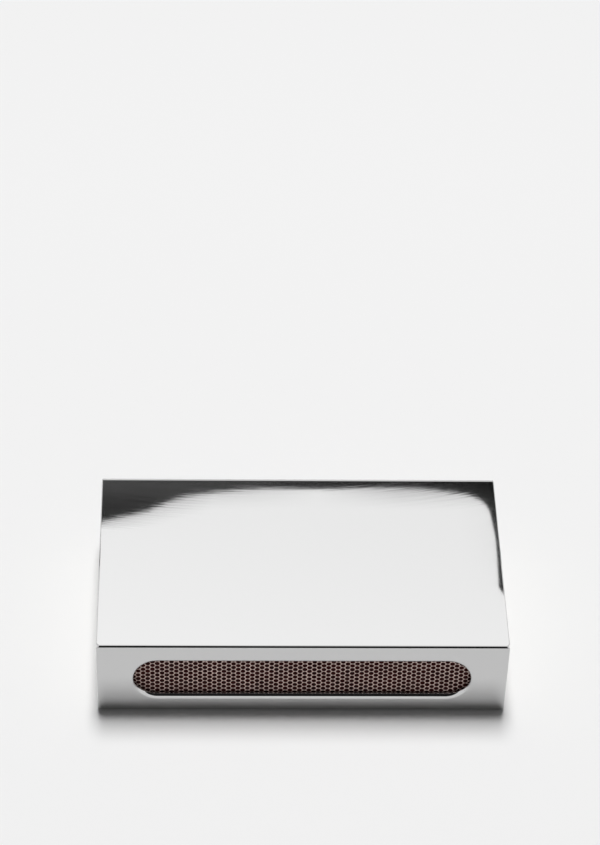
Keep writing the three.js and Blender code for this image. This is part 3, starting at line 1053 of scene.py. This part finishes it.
def facing_object(distance, elevation):
    """A place behind and above the object, with its -Z turned towards the object."""
    lift = math.radians(elevation)
    place = Vector((0, math.cos(lift), math.sin(lift))) * distance
    return Matrix.Translation(place) @ Euler((lift - math.radians(90), 0, 0)).to_matrix().to_4x4()


def make_lamp(name, elevation, width, height, power):
    """An oval soft box, overhead and a little behind, which shows in no mirror."""
    lamp = bpy.data.lights.new(name, "AREA")
    lamp.shape = "ELLIPSE"
    lamp.size = width
    lamp.size_y = height
    lamp.energy = power
    soft_box = bpy.data.objects.new(name, lamp)
    bpy.context.scene.collection.objects.link(soft_box)
    soft_box.matrix_world = facing_object(LAMP_DISTANCE, elevation)
    soft_box.visible_glossy = False


def make_panel():
    """The white panel behind, which fills most of the polished top's mirror image."""
    bm = rectangle(PANEL_WIDTH, PANEL_HEIGHT)
    bmesh.ops.transform(bm, matrix=facing_object(PANEL_DISTANCE, PANEL_ELEVATION), verts=bm.verts)
    shares = (PANEL_GLOW_ACROSS, PANEL_GLOW_UPWARDS)
    glow = glow_material("White panel", PANEL_STRENGTH, *shares)
    only_in_mirrors(new_piece("white_panel", bm, [glow]))


def veil_material():
    """Painted shade: a dark, see-through sheet, densest along the card's edge and towards both its
    ends, clear above.
    """
    material, tree = new_material("Painted shade veil")
    axes = parts_of(tree, object_place(tree))
    edge = between(tree, axes[0], *VEIL_FOOT_SPAN_X, *VEIL_FOOT_SPAN_Z)
    above = maths(tree, "SUBTRACT", axes[2], edge)
    left = between(tree, axes[0], *VEIL_LEFT_SPAN_X, VEIL_LEFT, VEIL_MIDDLE)
    right = between(tree, axes[0], *VEIL_RIGHT_SPAN_X, VEIL_MIDDLE, VEIL_RIGHT)
    side = maths(tree, "MAXIMUM", left, right)
    fading = maths(tree, "POWER", between(tree, above, 0, VEIL_HEIGHT, 1, 0), VEIL_FADE)
    density = maths(tree, "MULTIPLY", fading, side)
    see_through = add(tree, "ShaderNodeBsdfTransparent").outputs[0]
    # Painted shade: the dark part of the sheet darkens the white panel's mirror image by the card's
    # edge
    painted_shade = add(tree, "ShaderNodeEmission", inputs={"Strength": 0.0}).outputs[0]
    inputs = {0: density, 1: see_through, 2: painted_shade}
    show(tree, add(tree, "ShaderNodeMixShader", inputs=inputs).outputs[0])
    return material


def make_veil():
    """A strip of painted shade along the dark card's edge, which softens it in the polished top."""
    bm = rectangle(VEIL_LENGTH, 2 * VEIL_HEIGHT)
    bmesh.ops.transform(bm, matrix=XY_TO_XZ, verts=bm.verts)
    bmesh.ops.translate(bm, vec=(0, BACK_CARD_PLACE + MM, VEIL_PLACE), verts=bm.verts)
    only_in_mirrors(new_piece("veil", bm, [veil_material()]))


def card_material():
    """Dark card, a little paler towards its left foot, where stray light falls on it."""
    material, tree = new_material("Dark back card")
    axes = parts_of(tree, object_place(tree))
    foot = between(tree, axes[0], *CARD_GLOW_SPAN_X, CARD_GLOW_LEFT, CARD_GLOW_RIGHT)
    amount = between(tree, axes[2], *CARD_GLOW_SPAN_Z, foot, CARD_GLOW_TOP)
    show(tree, add(tree, "ShaderNodeEmission", inputs={"Strength": amount}).outputs[0])
    return material


def make_back_card():
    """The dark arch behind: its wavy upper edge shows in the far part of the polished top."""
    curve = bpy.data.curves.new("back_card", "CURVE")
    curve.dimensions = "2D"
    curve.fill_mode = "BOTH"
    spline = curve.splines.new("BEZIER")
    spline.bezier_points.add(len(BACK_CARD_OUTLINE) - 1)
    for point, (x, z) in zip(spline.bezier_points, BACK_CARD_OUTLINE):
        point.co = (x * MM, z * MM, 0)
        point.handle_left_type = point.handle_right_type = "AUTO"
    spline.use_cyclic_u = True
    card = bpy.data.objects.new("back_card", curve)
    bpy.context.scene.collection.objects.link(card)
    upright = Matrix.Translation((0, BACK_CARD_PLACE, 0)) @ XY_TO_XZ
    flat = bpy.data.meshes.new_from_object(card)
    bpy.data.objects.remove(card)
    flat.transform(upright)
    flat.materials.clear()
    flat.materials.append(card_material())
    piece = bpy.data.objects.new("back_card", flat)
    bpy.context.scene.collection.objects.link(piece)
    only_in_mirrors(piece)


def make_front_card():
    """The dark oval over the camera: the thin dark line in the bends and along the windows' feet."""
    middle = (FRONT_CARD_START + FRONT_CARD_END) / 2
    reach = (FRONT_CARD_END - FRONT_CARD_START) / 2
    bm = bmesh.new()
    bmesh.ops.create_grid(bm, x_segments=24, y_segments=8, size=1)
    for vert in bm.verts:
        along = math.radians(90) * vert.co.x
        turn = math.radians(middle + reach * vert.co.y * math.cos(along))
        above = Vector((math.sin(along) * FRONT_CARD_WIDTH / 2, 0, FRONT_CARD_DISTANCE))
        vert.co = Matrix.Rotation(turn, 3, "X") @ above
    bmesh.ops.remove_doubles(bm, verts=bm.verts, dist=SAME_PLACE)
    only_in_mirrors(new_piece("front_card", bm, [glow_material("Dark front card", FRONT_CARD_GLOW)]))


def place_camera():
    """The camera looks down from in front, turned a little to its right and rolled a little."""
    data = bpy.data.cameras.new("camera")
    data.lens = CAMERA_LENS
    data.sensor_width = SENSOR_WIDTH
    data.sensor_fit = "AUTO"
    data.clip_start = CAMERA_NEAR
    data.clip_end = CAMERA_FAR
    look = Vector(
        (
            math.sin(CAMERA_YAW) * math.cos(CAMERA_PITCH),
            math.cos(CAMERA_YAW) * math.cos(CAMERA_PITCH),
            -math.sin(CAMERA_PITCH),
        )
    )
    level = look.cross(Vector((0, 0, 1))).normalized()
    upward = level.cross(look)
    right = math.cos(CAMERA_ROLL) * level + math.sin(CAMERA_ROLL) * upward
    up = -math.sin(CAMERA_ROLL) * level + math.cos(CAMERA_ROLL) * upward
    camera = bpy.data.objects.new("camera", data)
    bpy.context.scene.collection.objects.link(camera)
    turn = Matrix((right, up, -look)).transposed().to_4x4()
    camera.matrix_world = Matrix.Translation(CAMERA_PLACE) @ turn
    bpy.context.scene.camera = camera


steel = mirror_polished_steel()
cut_edge = cut_board_edge()
make_cover(steel)
paper = strip_paper()
print_coat = red_phosphorus_print()
make_striker("striker_front", -1, paper, print_coat)
make_striker("striker_back", 1, paper, print_coat)
lining = pulp_board("Unprinted card lining", "#e9e6df", "#dbd7ce", "#aaa497")
make_sleeve(printed_card(), lining, cut_edge)
make_tray(pulp_board("Grey tray board", "#d3d0c8", "#c2beb4", "#8f8b80"), cut_edge)
make_matches(aspen_splint_wood(), head_compound())

light_world()
make_floor()
make_lamp("high_lamp", **HIGH_LAMP)
make_lamp("low_lamp", **LOW_LAMP)
make_panel()
make_back_card()
make_veil()
make_front_card()
place_camera()
bpy.context.scene.view_settings.view_transform = "Standard"
